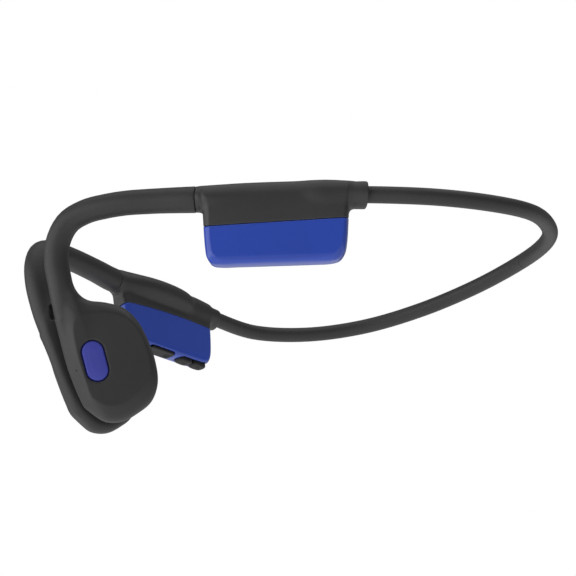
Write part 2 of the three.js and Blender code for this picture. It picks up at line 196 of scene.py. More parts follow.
def spline(points, count, closed=False):
    """Centripetal Catmull-Rom curve through points, as count + 1 evenly spaced points."""
    p = np.array(points, float)
    n = len(p)
    if closed:
        p = np.vstack([p[-1], p, p[0], p[1]])
        spans = n
    else:
        p = np.vstack([2 * p[0] - p[1], p, 2 * p[-1] - p[-2]])
        spans = n - 1
    out = []
    for i in range(spans):
        a, b, c, d = p[i : i + 4]
        ta = max(np.sqrt(np.linalg.norm(b - a)), 1e-4)
        tb = max(np.sqrt(np.linalg.norm(c - b)), 1e-4)
        tc = max(np.sqrt(np.linalg.norm(d - c)), 1e-4)
        m1 = ((b - a) / ta - (c - a) / (ta + tb) + (c - b) / tb) * tb
        m2 = ((c - b) / tb - (d - b) / (tb + tc) + (d - c) / tc) * tb
        t = np.linspace(0, 1, 33)[:, None]
        cubic = (2 * t**3 - 3 * t**2 + 1) * b + (t**3 - 2 * t**2 + t) * m1
        cubic += (-2 * t**3 + 3 * t**2) * c + (t**3 - t**2) * m2
        out.append(cubic if i == spans - 1 else cubic[:-1])
    dense = np.vstack(out)
    length = np.concatenate([[0], np.cumsum(np.linalg.norm(np.diff(dense, axis=0), axis=1))])
    even = np.linspace(0, length[-1], count + 1)
    return np.stack([np.interp(even, length, dense[:, i]) for i in range(dense.shape[1])], 1)


def tube(p, points, radii):
    """Distance to a round tube along a line of points, with a radius at each point."""
    best = np.full(len(p), 1e9, np.float32)
    for a, b, ra, rb in zip(points[:-1], points[1:], radii[:-1], radii[1:]):
        e = b - a
        t = np.clip((p - a) @ e / (e @ e), 0, 1)
        d = np.linalg.norm(p - a - t[:, None] * e, axis=1) - (ra + (rb - ra) * t)
        best = np.minimum(best, d)
    return best


class Outline:
    """Signed distance to a closed flat outline, kept on a fine grid."""

    def __init__(self, points, margin=9.0, step=0.15):
        poly = np.array(points, float)
        self.low = poly.min(0) - margin
        self.step = step
        size = np.ceil((poly.max(0) + margin - self.low) / step).astype(int) + 1
        x, y = np.meshgrid(np.arange(size[0]), np.arange(size[1]), indexing="ij")
        p = np.stack([x.ravel(), y.ravel()], 1) * step + self.low
        best = np.full(len(p), 1e9)
        inside = np.zeros(len(p), bool)
        for a, b in zip(poly, np.roll(poly, -1, 0)):
            e = b - a
            w = p - a
            t = np.clip(w @ e / max(e @ e, 1e-12), 0, 1)
            best = np.minimum(best, ((w - t[:, None] * e) ** 2).sum(1))
            spans = (a[1] > p[:, 1]) != (b[1] > p[:, 1])
            rise = e[1] if abs(e[1]) > 1e-12 else 1e-12
            inside ^= spans & (p[:, 0] < a[0] + e[0] * (p[:, 1] - a[1]) / rise)
        self.grid = np.where(inside, -1, 1) * np.sqrt(best)
        self.grid = self.grid.reshape(size).astype(np.float32)

    def __call__(self, x, y):
        gx = np.clip((x - self.low[0]) / self.step, 0, self.grid.shape[0] - 1.001)
        gy = np.clip((y - self.low[1]) / self.step, 0, self.grid.shape[1] - 1.001)
        ix = gx.astype(int)
        iy = gy.astype(int)
        fx = gx - ix
        fy = gy - iy
        g = self.grid
        low = g[ix, iy] * (1 - fx) + g[ix + 1, iy] * fx
        high = g[ix, iy + 1] * (1 - fx) + g[ix + 1, iy + 1] * fx
        return low * (1 - fy) + high * fy


def rounded_box(x, y, half_x, half_y, radius):
    """Distance to a flat rectangle with rounded corners."""
    qx = np.abs(x) - (half_x - radius)
    qy = np.abs(y) - (half_y - radius)
    outside = np.hypot(np.maximum(qx, 0), np.maximum(qy, 0))
    return outside + np.minimum(np.maximum(qx, qy), 0) - radius


def bevelled(x, y, h, rim, island, face, drop, power):
    """A face that is flat inside island and falls away by drop at rim."""
    inside = np.maximum(-rim(x, y), 0)
    outside = np.maximum(island(x, y), 0)
    share = outside / (inside + outside + 1e-4)
    return h - face + drop * share**power


def field_mesh(name, field, low, high, step):
    """Mesh of the surface where field is zero: one vertex per crossed cell, then
    each vertex is moved onto the surface."""
    low = np.array(low, float)
    block = 4
    blocks = np.ceil((np.array(high) - low) / step / block).astype(int) + 1
    ids = np.stack(np.meshgrid(*[np.arange(b) for b in blocks], indexing="ij"), -1)
    ids = ids.reshape(-1, 3)
    middle = low + (ids * block + (block - 1) / 2) * step
    coarse = field(middle)
    near = np.abs(coarse) < step * block * 1.75 + 0.3
    values = np.repeat(coarse.reshape(blocks), block, 0)
    values = np.repeat(np.repeat(values, block, 1), block, 2).astype(np.float32)
    cell = np.stack(np.meshgrid(*[np.arange(block)] * 3, indexing="ij"), -1).reshape(-1, 3)
    fine = (ids[near][:, None, :] * block + cell[None]).reshape(-1, 3)
    for start in range(0, len(fine), 400000):
        part = fine[start : start + 400000]
        values[part[:, 0], part[:, 1], part[:, 2]] = field(low + part * step)

    shape = np.array(values.shape)
    stride = np.array([shape[1] * shape[2], shape[2], 1])
    solid = values < 0
    keys, places, faces = [], [], []
    for axis in range(3):
        lower = [slice(None)] * 3
        upper = [slice(None)] * 3
        lower[axis] = slice(0, -1)
        upper[axis] = slice(1, None)
        first = solid[tuple(lower)]
        hit = np.argwhere(first != solid[tuple(upper)])
        side = first[tuple(hit.T)]
        unit = np.zeros(3, int)
        unit[axis] = 1
        v0 = values[tuple(hit.T)]
        v1 = values[tuple((hit + unit).T)]
        cross = hit + unit * (v0 / (v0 - v1))[:, None]
        b = np.eye(3, dtype=int)[(axis + 1) % 3]
        c = np.eye(3, dtype=int)[(axis + 2) % 3]
        ring = [hit - b - c, hit - c, hit, hit - b]
        ring = [corner @ stride for corner in ring]
        for corner in ring:
            keys.append(corner)
            places.append(cross)
        quad = np.stack(ring, 1)
        quad[~side] = quad[~side][:, ::-1]
        faces.append(quad)
    keys = np.concatenate(keys)
    places = np.concatenate(places)
    cells, index = np.unique(keys, return_inverse=True)
    index = index.ravel()
    count = np.bincount(index)
    points = np.stack([np.bincount(index, places[:, i]) / count for i in range(3)], 1)
    points = low + points * step
    quads = np.searchsorted(cells, np.concatenate(faces))

    for _ in range(4):
        points = settle(points, field, step)
    mesh = bpy.data.meshes.new(name)
    mesh.vertices.add(len(points))
    mesh.vertices.foreach_set("co", to_frame_metres(points).astype(np.float32).ravel())
    mesh.loops.add(len(quads) * 4)
    mesh.loops.foreach_set("vertex_index", quads.astype(np.int32).ravel())
    mesh.polygons.add(len(quads))
    mesh.polygons.foreach_set("loop_start", np.arange(0, len(quads) * 4, 4, dtype=np.int32))
    mesh.polygons.foreach_set("use_smooth", np.ones(len(quads), bool))
    mesh.update(calc_edges=True)
    mesh.validate()
    return new_object(name, mesh)


def gradient(points, field, reach=0.03):
    """Slope of the field along each axis, by central differences."""
    slopes = []
    for axis in range(3):
        offset = np.zeros(3)
        offset[axis] = reach
        slopes.append((field(points + offset) - field(points - offset)) / (2 * reach))
    return np.stack(slopes, 1)


def settle(points, field, step):
    """One Newton step of each point towards the surface."""
    slope = gradient(points, field)
    move = field(points)[:, None] * slope / np.maximum((slope**2).sum(1), 0.05)[:, None]
    length = np.linalg.norm(move, axis=1, keepdims=True)
    return points - move * np.minimum(1, 0.5 * step / np.maximum(length, 1e-9))


def to_frame_metres(points):
    return (points + SHIFT) * 0.001


def new_object(name, mesh):
    obj = bpy.data.objects.new(name, mesh)
    bpy.context.scene.collection.objects.link(obj)
    return obj


def mirrored(field):
    """The same field on the other side of the head."""
    return lambda p: field(p * np.array([-1, 1, 1]))


# ------------------------------------------------------------------ local frames
CAN_N = CAN_NORMAL / np.linalg.norm(CAN_NORMAL)
CAN_W = np.array([0, 0, 1]) - CAN_N[2] * CAN_N
CAN_W /= np.linalg.norm(CAN_W)
CAN_V = np.cross(CAN_W, CAN_N)
CAN_AXES = np.stack([CAN_V, CAN_W, CAN_N])
outward = np.array([np.cos(POD_YAW), -np.sin(POD_YAW), 0])
rearward = np.array([np.sin(POD_YAW), np.cos(POD_YAW), 0])
upward = np.array([0, 0, 1])
POD_AXES = np.stack(
    [
        outward * np.cos(POD_LEAN) - upward * np.sin(POD_LEAN),
        rearward,
        outward * np.sin(POD_LEAN) + upward * np.cos(POD_LEAN),
    ]
)


def in_can(p):
    return (p - CAN_ORIGIN) @ CAN_AXES.T


def from_can(q):
    return q @ CAN_AXES + CAN_ORIGIN


def in_pod(p):
    return (p - POD_ORIGIN) @ POD_AXES.T


def from_pod(q):
    return q @ POD_AXES + POD_ORIGIN


# ------------------------------------------------------------------ band
band_line = spline(BAND + [[-x, y, z] for x, y, z in BAND[-2::-1]], 600)
band_step = np.linalg.norm(band_line[1] - band_line[0])
half_band = band_line[:301]


def sweep(name, line, radius, sides, offset=0.0, flip=False):
    """A closed round tube along a line, its flat ends kept crisp."""
    tangent = np.gradient(line, axis=0)
    tangent /= np.linalg.norm(tangent, axis=1, keepdims=True)
    level = np.cross(tangent, [0, 0, 1])
    level /= np.linalg.norm(level, axis=1, keepdims=True)
    rise = np.cross(level, tangent)
    line = line + level * offset
    angle = np.linspace(0, 2 * np.pi, sides, endpoint=False)
    rings = line[:, None] + radius * (
        np.cos(angle)[None, :, None] * level[:, None] + np.sin(angle)[None, :, None] * rise[:, None]
    )
    points = rings.reshape(-1, 3)
    if flip:
        points = points * np.array([-1, 1, 1])
    rows = len(line)
    faces = []
    for i in range(rows - 1):
        for j in range(sides):
            k = (j + 1) % sides
            quad = [i * sides + j, i * sides + k, (i + 1) * sides + k, (i + 1) * sides + j]
            faces.append(quad if flip else quad[::-1])
    start = list(range(sides))
    end = [(rows - 1) * sides + j for j in range(sides)]
    faces.append(start[::-1] if flip else start)
    faces.append(end if flip else end[::-1])
    mesh = bpy.data.meshes.new(name)
    mesh.from_pydata(to_frame_metres(points).tolist(), [], faces)
    smooth = np.ones(len(faces), bool)
    smooth[-2:] = False
    mesh.polygons.foreach_set("use_smooth", smooth)
    mesh.update()
    return new_object(name, mesh)


# ------------------------------------------------------------------ hook and transducer
rim = Outline(spline(CAN_RIM, 240, closed=True)[:-1])
island = Outline(spline(CAN_ISLAND, 200, closed=True)[:-1])
root = np.array(HOOK_ROOT)
hook_path = np.vstack([spline(HOOK, 60), from_can(root[:, :3])])
# The line runs from inside the pod through every sixth point of the path and the root's points.
in_pod_end = from_pod(np.array([[0.1, 1.2, 0.1]]))
hook_line = spline(np.vstack([in_pod_end, hook_path[2::6], hook_path[-len(root):]]), 70)
hook_height = in_can(hook_line)[:, 1]
# The radius follows the root's up to the ear, and swells a little towards the pod.
heights = np.concatenate([root[::-1, 1], [17, 24, 32]])
widths = np.concatenate([root[::-1, 3], [3.3, 3.35, HOOK_RADIUS]])
hook_radii = np.interp(hook_height, heights, widths)
from_pod_end = np.linalg.norm(hook_line - hook_line[0], axis=1)
hook_radii += np.interp(from_pod_end, [0, 4, 12, 22], [0.25, 0.2, 0.06, 0])


def pill_distance(v, w, grow=0.0):
    """Distance to the button's outline, a rectangle with round ends that leans."""
    v = v - PILL_CENTRE[0]
    w = w - PILL_CENTRE[1]
    x = v * np.cos(PILL_TILT) + w * np.sin(PILL_TILT)
    y = -v * np.sin(PILL_TILT) + w * np.cos(PILL_TILT)
    reach = (PILL_LENGTH - PILL_WIDTH) / 2
    return np.hypot(x, np.maximum(np.abs(y) - reach, 0)) - PILL_WIDTH / 2 - grow


def towards_front(v, w, span):
    """0 on most of the transducer, rising to 1 over span at its front flank."""
    return np.clip((-0.95 * v - 0.31 * w - 4.5) / span, 0, 1)


def can_field(q):
    """The transducer's body. The front flank falls away steeply and the others gently."""
    v, w, n = q.T
    front = towards_front(v, w, 4)
    drop = FLANK_DROP + FRONT_DROP * front * front * (3 - 2 * front)
    face = bevelled(v, w, n, rim, island, CAN_FACE - 0.1, drop, 1.25)
    body = smax(face * 0.85, rim(v, w), 2.2)
    back = CAN_BACK - n
    return smax(body, back, 2.6)


def spigot(q, grow):
    """The hook's end plugs into the front of the pod cover."""
    reach = np.maximum(q[:, 1] - 0.3 - grow, -3.0 - q[:, 1])
    return np.maximum(np.hypot(q[:, 0], q[:, 2] - 0.1) - SPIGOT_RADIUS - grow, reach)


def vent_distance(v, w, grow=0.0):
    """A slot in the inner side of the hook, just above the transducer."""
    x = v - VENT_CENTRE[0]
    y = w - VENT_CENTRE[1]
    return np.hypot(x, np.maximum(np.abs(y) - VENT_REACH, 0)) - VENT_RADIUS - grow


def hook_shell(p, button):
    """Hook and transducer housing in one, with a larger fillet behind than in front."""
    q = in_can(p)
    v, w, n = q.T
    in_front = np.interp(w, [-2, 12], [3.0, 1.2])
    fillet = 5.4 + (in_front - 5.4) * towards_front(v, w, 4.5)
    body = smin(tube(p, hook_line, hook_radii), can_field(q), fillet)
    at_pod = in_pod(p)
    body = smax(body, at_pod[:, 1] - HOOK_END, 0.2)
    body = np.minimum(body, spigot(at_pod, 0.0))
    from_middle = np.hypot(v - CAN_CENTRE[0], w - CAN_CENTRE[1])
    cavity = np.maximum(from_middle - CAVITY_RADIUS, n - CAVITY_TOP)
    body = np.maximum(body, -np.maximum(cavity, body + SHELL_WALL))
    vent = np.maximum(vent_distance(v, w), n + HOOK_RADIUS - 1.0)
    body = smax(body, -vent, 0.25)
    if button:
        well = np.maximum(pill_distance(v, w, 0.3), 2.2 - n)
        seat = np.maximum(pill_distance(v, w, 1.2), np.abs(n - 2.35) - 0.85)
        body = smax(body, -well, 0.35)
        body = np.maximum(body, -seat)
    return body


def pill_field(p):
    """The multifunction button: a slightly domed cap on a flange that keeps it in."""
    v, w, n = in_can(p).T
    edge = pill_distance(v, w)
    cap = smax(edge, n - CAN_FACE + 0.1 - 0.12 * np.clip(-edge, 0, 2), 0.45)
    flange = np.maximum(pill_distance(v, w, 0.8), n - 2.9)
    return np.maximum(np.minimum(cap, flange), 2.5 - n)


def pad_field(p):
    """The cheek pad, with a fine groove around its face."""
    v, w, n = in_can(p).T
    edge = rim((v - 0.6) / PAD_SCALE, (w - 0.2) / PAD_SCALE) * PAD_SCALE + 0.15
    half = PAD_THICK / 2
    body = smax(edge, np.abs(n - (PAD_FACE + half)) - half, 0.7)
    groove = np.hypot(edge + 1.7, n - PAD_FACE) - 0.28
    return smax(body, -groove, 0.25)


def vent_mesh_field(p):
    """A thin plate in the slot, with rows of round holes."""
    v, w, n = in_can(p).T
    plate = np.maximum(vent_distance(v, w, -0.05), np.abs(n + HOOK_RADIUS - 1.25) - 0.25)
    across = (v - VENT_CENTRE[0]) / MESH_PITCH
    along = (w - VENT_CENTRE[1]) / MESH_PITCH
    holes = np.hypot(across - np.round(across), along - np.round(along))
    holes = holes * MESH_PITCH - MESH_HOLE
    return np.maximum(plate, -holes)


# ------------------------------------------------------------------ pods
# Outlines: from the side (v, w), of its flat face, of the cross-section (u, w) and of the top.
side_outline = Outline(
    spline(
        [
            [POD_FRONT, POD_TOP + 4],
            [POD_FRONT - 0.35, -1],
            [POD_FRONT - 0.15, -7],
            [POD_FRONT + 0.3, POD_BOTTOM + 5.2],
            [POD_FRONT + 0.75, POD_BOTTOM + 2.6],
            [POD_FRONT + 2.1, POD_BOTTOM + 0.75],
            [POD_FRONT + 4.6, POD_BOTTOM + 0.02],
            [POD_FRONT + 9, POD_BOTTOM],
            [POD_REAR - 9, POD_BOTTOM],
            [POD_REAR - 5.4, POD_BOTTOM + 0.15],
            [POD_REAR - 2.8, POD_BOTTOM + 1.1],
            [POD_REAR - 1.35, POD_BOTTOM + 3.1],
            [POD_REAR - 0.75, POD_BOTTOM + 5.8],
            [POD_REAR - 0.25, -7],
            [POD_REAR, -1],
            [POD_REAR, POD_TOP + 4],
        ],
        400,
        closed=True,
    )[:-1]
)
face_outline = Outline(
    spline(
        [
            [POD_FRONT + 1.5, 12],
            [POD_FRONT + 1.55, -4],
            [POD_FRONT + 1.9, POD_BOTTOM + 6],
            [POD_FRONT + 2.5, POD_BOTTOM + 3.4],
            [POD_FRONT + 4.2, POD_BOTTOM + 1.8],
            [POD_FRONT + 7, POD_BOTTOM + 1.4],
            [POD_REAR - 7, POD_BOTTOM + 1.4],
            [POD_REAR - 3.9, POD_BOTTOM + 2.1],
            [POD_REAR - 2.2, POD_BOTTOM + 4.1],
            [POD_REAR - 1.3, POD_BOTTOM + 8],
            [POD_REAR - 0.7, -4],
            [POD_REAR - 0.7, 12],
        ],
        300,
        closed=True,
    )[:-1]
)
section_outline = Outline(
    spline(
        [
            [0.2, POD_TOP],
            [-1.3, POD_TOP - 0.45],
            [POD_INNER * 0.86, POD_TOP - 1.6],
            [POD_INNER * 0.98, POD_TOP - 3.4],
            [POD_INNER, POD_TOP - 6],
            [POD_INNER, -8],
            [POD_INNER, POD_BOTTOM + 4.5],
            [POD_INNER + 0.1, POD_BOTTOM + 1.9],
            [POD_INNER + 0.5, POD_BOTTOM + 0.9],
            [POD_INNER + 1.4, POD_BOTTOM + 0.15],
            [POD_INNER + 3.0, POD_BOTTOM],
            [POD_OUTER - 1.5, POD_BOTTOM + 0.4],
            [POD_OUTER - 0.45, POD_BOTTOM + 0.9],
            [POD_OUTER - 0.05, POD_BOTTOM + 1.9],
            [POD_OUTER, POD_BOTTOM + 5],
            [POD_OUTER, -8],
            [POD_OUTER, POD_TOP - 9],
            [POD_OUTER * 0.95, POD_TOP - 5.6],
            [POD_OUTER * 0.8, POD_TOP - 2.6],
            [POD_OUTER * 0.5, POD_TOP - 0.75],
        ],
        300,
        closed=True,
    )[:-1]
)
top_outline = Outline(
    [
        [-2, -40],
        [42, -40],
        [POD_REAR + 3, POD_TOP - 1.6],
        [POD_REAR, POD_TOP - 1.2],
        [POD_REAR - 3, POD_TOP - 0.7],
        [POD_REAR - 10, POD_TOP - 0.1],
        [19, POD_TOP],
        [POD_FRONT + 8, POD_TOP - 0.3],
        [POD_FRONT, POD_TOP - 0.9],
        [-2, POD_TOP - 1.1],
    ]
)


def pod_form(q):
    """The whole pod without its neck and collar, bevelled on both faces."""
    u, v, w = q.T
    shape = smax(section_outline(u, w), side_outline(v, w), 1.1)
    outer = bevelled(v, w, u, side_outline, face_outline, POD_OUTER, 1.5, 1.15)
    inner = bevelled(v, w, -u, side_outline, face_outline, -POD_INNER, 0.9, 1.3)
    shape = smax(shape, outer * 0.8, 0.5)
    shape = smax(shape, inner * 0.85, 0.6)
    return smax(shape, top_outline(v, w), 0.6)


def parting(q):
    """Height above the joint between cover and case."""
    u, v, w = q.T
    middle = (POD_FRONT + POD_REAR) / 2
    level = w - PARTING_LEVEL
    level = level + (u - (POD_INNER + POD_OUTER) / 2) * np.tan(PARTING_ROLL)
    level = level - (v - middle) * np.tan(PARTING_PITCH)
    towards_head = np.clip((POD_OUTER - u) / (POD_OUTER - POD_INNER), 0, 1)
    level = level - PARTING_ARCH * towards_head * (1 - ((v - middle) / (POD_REAR - middle)) ** 2)
    return level * np.cos(PARTING_ROLL)


before_band = band_line[0] + (band_line[0] - band_line[1]) / band_step * np.array([[9.0], [4.5]])
collar_count = int(COLLAR_REACH / band_step) + 1
collar_line = in_pod(np.vstack([before_band, band_line[: collar_count * 3 : 2]]))
collar_end = in_pod(band_line[collar_count][None])[0]
collar_axis = (band_line[collar_count] - band_line[collar_count - 1]) @ POD_AXES.T
collar_axis = collar_axis / np.linalg.norm(collar_axis) - [COLLAR_SLANT, 0, 0]
collar_axis /= np.linalg.norm(collar_axis)
SPINE = [
    [0.1, -3.0, 0.1],
    [-0.1, 2, 0.2],
    [-0.9, 8, 0.45],
    [-1.6, 18, 0.7],
    [-1.2, 27, 0.5],
]
spine = spline(np.vstack([SPINE, collar_line]), 40)
spine_widths = [3.5, 3.55, 3.75, 3.75, 3.75, COLLAR_RADIUS]
spine_radii = np.interp(spine[:, 1], [-1, 3, 12, 32, 38, 44], spine_widths)


def pod_outside(q):
    """The form under a tube that runs through from the hook to the band's collar."""
    along = q[:, 1]
    rail = np.maximum(tube(q, spine, spine_radii), COVER_START - along)
    rail = smax(rail, (q - collar_end) @ collar_axis, 0.5)
    # Towards the collar the tube is flatter on the top of its head side.
    across = q[:, 0] - np.interp(along, spine[:, 1], spine[:, 0])
    above = q[:, 2] - np.interp(along, spine[:, 1], spine[:, 2])
    limit = np.interp(along, [24, 33, 41], [4.4, 3.9, 2.75])
    rail = smax(rail, 0.907 * above - 0.42 * across - limit, 1.4)
    # The fillet is larger beside the neck.
    fillet = np.interp(along, [0, 26, 34, 40], [1.2, 1.2, 1.9, 1.6])
    beside = np.clip((q[:, 2] + 4.5) / 4, 0, 1) * np.clip((3.0 - q[:, 2]) / 3, 0, 1)
    fillet += 1.5 * beside * np.clip((14 - along) / 10, 0, 1)
    return smin(pod_form(q), rail, fillet)


def pod_cover(p):
    """Its lower edge is rebated on the inside to take the case's lip."""
    q = in_pod(p)
    form = pod_form(q)
    body = smax(pod_outside(q), COVER_START - q[:, 1], 0.2)
    body = smax(body, SEAM - parting(q), 0.2)
    body = np.maximum(body, -spigot(q, 0.08))
    rebate = np.maximum(form + 0.5, parting(q) - 1.3)
    body = np.maximum(body, -rebate)
    body = smax(body, -(form + POD_WALL), 0.2)
    bore = tube(q, collar_line, np.full(len(collar_line), BAND_RADIUS + BORE_GAP))
    return smax(body, -bore, 0.35)


def pod_case(p, controls):
    """A cup with a lip inside the cover, and openings for the controls on the right."""
    q = in_pod(p)
    u, v, w = q.T
    form = pod_form(q)
    body = smax(form, parting(q) + SEAM, 0.2)
    body = np.minimum(body, np.maximum(form + 0.6, parting(q) - 1.15))
    body = smax(body, -(form + POD_WALL + 0.15), 0.2)
    if not controls:
        return body
    up = w - POD_BOTTOM
    x = u - UNDER_MIDDLE
    front, rear = VOLUME_MIDDLES
    span = (rear - front + VOLUME_LENGTH) / 2
    well = rounded_box(x, v - (front + rear) / 2, VOLUME_WIDTH / 2 + 0.25, span + 0.25, 1.4)
    body = smax(body, -np.maximum(well, up - 2.4), 0.3)
    y = v - PORT_MIDDLE
    recess = rounded_box(x, y, FLAP_WIDTH / 2 + 0.2, FLAP_LENGTH / 2 + 0.2, 1.3)
    body = smax(body, -np.maximum(recess, up - FLAP_THICK - 0.15), 0.25)
    bridge = np.maximum(rounded_box(x, y, 2.4, 5.3, 1.9), np.abs(up - 2.6) - 1.5)
    body = np.minimum(body, bridge)
    mouth = rounded_box(x, y, 1.72, 4.66, 1.6)
    body = smax(body, -np.maximum(mouth, up - 9), 0.2)
    room = np.maximum(rounded_box(x, y, *RECEPTACLE_HALF, 1.6), np.abs(up - 5.2) - 4)
    return np.maximum(body, -room)


def volume_key(index):
    """A rubber key with a crowned top and a raised mark: a bar, or a bar crossed by another."""
    middle = VOLUME_MIDDLES[index]

    def field(p):
        u, v, w = in_pod(p).T
        x = u - UNDER_MIDDLE
        y = v - middle
        side = rounded_box(x, y, VOLUME_WIDTH / 2 - 0.02, VOLUME_LENGTH / 2 + 0.12, 1.2)
        crown = 0.05 * x**2 + 0.035 * y**2
        foot = POD_BOTTOM - VOLUME_PROUD + crown - w
        body = smax(side, foot, 0.55)
        bar = np.maximum(rounded_box(x, y, 0.17, 0.85, 0.17), foot - 0.13)
        body = smin(body, bar, 0.12)
        if index == 1:
            cross = np.maximum(rounded_box(x, y, 0.85, 0.17, 0.17), foot - 0.13)
            body = smin(body, cross, 0.12)
        return np.maximum(body, w - POD_BOTTOM - 1.7)

    return field


def flap_field(p):
    """The port's cover: thin at its hinge end, with a plug inside and a thumb dish outside."""
    u, v, w = in_pod(p).T
    up = w - POD_BOTTOM
    x = u - UNDER_MIDDLE
    y = v - PORT_MIDDLE
    edge = rounded_box(x, y, FLAP_WIDTH / 2, FLAP_LENGTH / 2, 1.1)
    body = smax(edge, np.abs(up - FLAP_THICK / 2) - FLAP_THICK / 2, 0.3)
    above_tether = np.maximum(y + FLAP_LENGTH / 2 - 1.2, 0.3 - up)
    body = smax(body, -above_tether, 0.2)
    plug = np.maximum(rounded_box(x, y, 1.2, 4.0, 1.1), np.abs(up - 1.3) - 0.6)
    body = smin(body, plug, 0.15)
    dish = np.hypot(np.hypot(x * 0.9, y - 3.4), up + 1.5) - 2.0
    return smax(body, -dish, 0.2)


# ------------------------------------------------------------------ pieces
def corners(points, margin):
    """Low and high corners of the box around points."""
    return points.min(0) - margin, points.max(0) + margin


def flip_box(box):
    low, high = box
    return np.array([-high[0], low[1], low[2]]), np.array([-low[0], high[1], high[2]])


def make(name, field, box, step, side):
    """Mesh of a field drawn for the left side, mirrored for the right."""
    if side == "right":
        return field_mesh(name, mirrored(field), *flip_box(box), step)
    return field_mesh(name, field, *box, step)


grid = np.array([[v, w, n] for v in (-17, 15) for w in (-17, 18) for n in (-5, 5)])
can_box = corners(from_can(grid), 0.5)
hook_box = corners(np.vstack([hook_line[hook_height > 10], from_can(grid)]), 4.2)
pod_corners = np.array([[u, v, w] for u in (-4.6, 6.4) for v in (-2, 44) for w in (-20.5, 5.5)])
pod_box = corners(from_pod(pod_corners), 0.2)
slot_corners = np.array([[v, w, n] for v in (-14.5, -11) for w in (13.5, 19.5) for n in (-3.4, -1)])
vent_box = corners(from_can(slot_corners), 0.1)
under = np.array([[u, v, w] for u in (-2.6, 3.4) for v in (9, 39) for w in (-20.5, -14)])
under_box = corners(from_pod(under), 0.2)
COARSE = 1.0
ARM_STEP = 0.36 * COARSE
POD_STEP = 0.3 * COARSE
PILL_STEP = 0.25
FLAP_STEP = 0.2
KEY_STEP = 0.16
VENT_STEP = 0.12

built = {}
for side in ("left", "right"):
    left = side == "left"
    shapes = [
        ("arm_shell", lambda p, left=left: hook_shell(p, left), hook_box, ARM_STEP),
        ("pad", pad_field, can_box, ARM_STEP),
        ("vent", vent_mesh_field, vent_box, VENT_STEP),
        ("cover", pod_cover, pod_box, POD_STEP),
        ("case", lambda p, left=left: pod_case(p, not left), pod_box, POD_STEP),
    ]
    for label, field, box, step in shapes:
        built[f"{side}_{label}"] = make(f"{side}_{label}", field, box, step, side)
    arm_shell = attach(built[f"{side}_arm_shell"], f"{side}_arm")
    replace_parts(arm_shell, f"{side}_ear_hook", f"{side}_transducer_shell")
    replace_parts(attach(built[f"{side}_pad"], f"{side}_arm"), f"{side}_cheek_pad")
    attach(built[f"{side}_vent"], f"{side}_arm")
    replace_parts(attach(built[f"{side}_cover"], f"{side}_arm"), f"{side}_pod_cover")
    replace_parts(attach(built[f"{side}_case"], f"{side}_arm"), f"{side}_pod_case")

built["pill_key"] = make("pill_key", pill_field, can_box, PILL_STEP, "left")
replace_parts(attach(built["pill_key"], "multifunction_key"), "multifunction_button")
for index, label in enumerate(("volume_down", "volume_up")):
    key = make(f"{label}_cap", volume_key(index), under_box, KEY_STEP, "right")
    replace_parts(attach(key, f"{label}_key"), f"{label}_button")
    built[f"{label}_cap"] = key
built["charging_flap"] = make("charging_flap", flap_field, under_box, FLAP_STEP, "right")
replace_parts(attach(built["charging_flap"], "port_flap"), "port_cover")

# Each half of the band is a tube from the pod's collar to the middle of the back, with the spring wire
# and the lead inside it.
wire_line = np.vstack([before_band[1], half_band])
for side in ("left", "right"):
    flip = side == "right"
    parts = [
        (f"{side}_band", half_band[::2], BAND_RADIUS, 40, 0.0, "band_sleeve"),
        (f"{side}_spring_wire", wire_line[::3], WIRE_RADIUS, 12, WIRE_OFFSET, "band_wire"),
        (f"{side}_lead", wire_line[::3], LEAD_RADIUS, 12, LEAD_OFFSET, "band_cable"),
    ]
    for name, line, radius, sides, offset, node in parts:
        piece = sweep(name, line, radius, sides, offset, flip)
        built[name] = piece
        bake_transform(piece)
        nodes = [f"{side}_{node}"] + ([] if flip else [f"neck_{node}"])
        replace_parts(piece, *nodes)

# ------------------------------------------------------------------ materials


def srgb(r, g, b):
    """Linear colour from 0 to 255 display values."""

    def linear(c):
        c = c / 255
        return c / 12.92 if c <= 0.04045 else ((c + 0.055) / 1.055) ** 2.4

    return (linear(r), linear(g), linear(b), 1.0)


